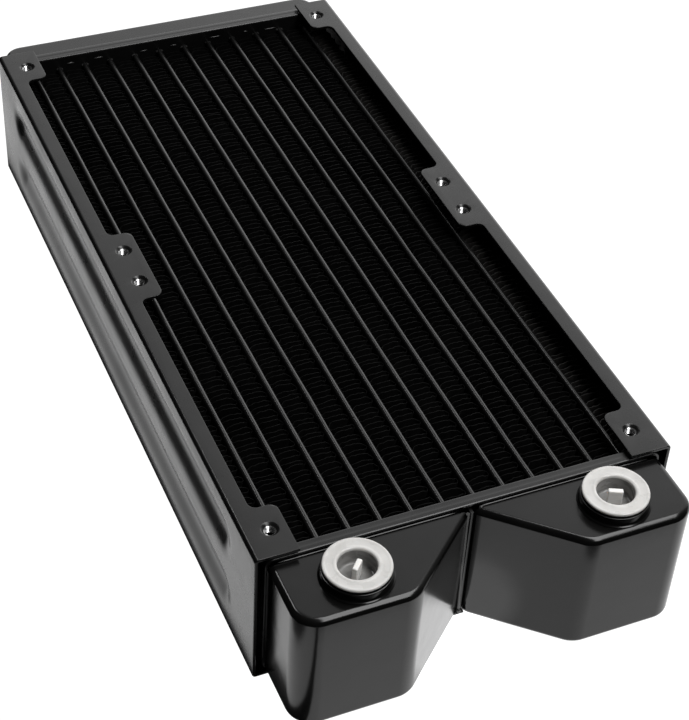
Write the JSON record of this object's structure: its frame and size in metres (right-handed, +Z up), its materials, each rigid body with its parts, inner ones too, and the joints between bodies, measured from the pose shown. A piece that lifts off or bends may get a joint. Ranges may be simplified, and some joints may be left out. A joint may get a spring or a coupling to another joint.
{
  "type": "liquid cooling radiator",
  "caption": "Flat radiator for liquid cooling: a finned core of flat tubes between grooved side panels, a return tank at one end and two ported tanks at the other.",
  "frame": {"origin": "middle of the whole length and width, on the plane of the bottom flanges", "axes": "+Y from the port end to the return tank, +Z up out of the fan face that the ports open through, +X to the right seen from the port end"},
  "size_m": [0.12, 0.2742, 0.0472],
  "materials": {
    "powder_black": "satin black powder coat",
    "gloss_black": "smooth gloss black paint",
    "fin_black": "thin matt black paint on folded strip",
    "tube_paint": "satin black paint, thin on the rounded edges",
    "plug_plastic": "milky translucent moulded plastic"
  },
  "bodies": {
    "radiator": {"left_side_panel": "powder_black", "right_side_panel": "powder_black", "near_header_plate": "powder_black", "far_header_plate": "powder_black", "tube_01": "tube_paint", "tube_02": "tube_paint", "tube_03": "tube_paint", "tube_04": "tube_paint", "tube_05": "tube_paint", "tube_06": "tube_paint", "tube_07": "tube_paint", "tube_08": "tube_paint", "tube_09": "tube_paint", "tube_10": "tube_paint", "tube_11": "tube_paint", "tube_12": "tube_paint", "fin_strip_01": "fin_black", "fin_strip_02": "fin_black", "fin_strip_03": "fin_black", "fin_strip_04": "fin_black", "fin_strip_05": "fin_black", "fin_strip_06": "fin_black", "fin_strip_07": "fin_black", "fin_strip_08": "fin_black", "fin_strip_09": "fin_black", "fin_strip_10": "fin_black", "fin_strip_11": "fin_black", "fin_strip_12": "fin_black", "fin_strip_13": "fin_black", "left_tank": "gloss_black", "right_tank": "gloss_black", "return_tank": "gloss_black", "tank_divider": "powder_black", "left_port_boss": "gloss_black", "right_port_boss": "gloss_black"},
    "left_plug": {"left_port_plug": "plug_plastic"},
    "right_plug": {"right_port_plug": "plug_plastic"}
  },
  "joints": [
    {"name": "left_plug_lift", "type": "slide", "parent": "radiator", "child": "left_plug", "axis": [0, 0, 1], "range_m": [0, 0.012]},
    {"name": "right_plug_lift", "type": "slide", "parent": "radiator", "child": "right_plug", "axis": [0, 0, 1], "range_m": [0, 0.012]}
  ]
}
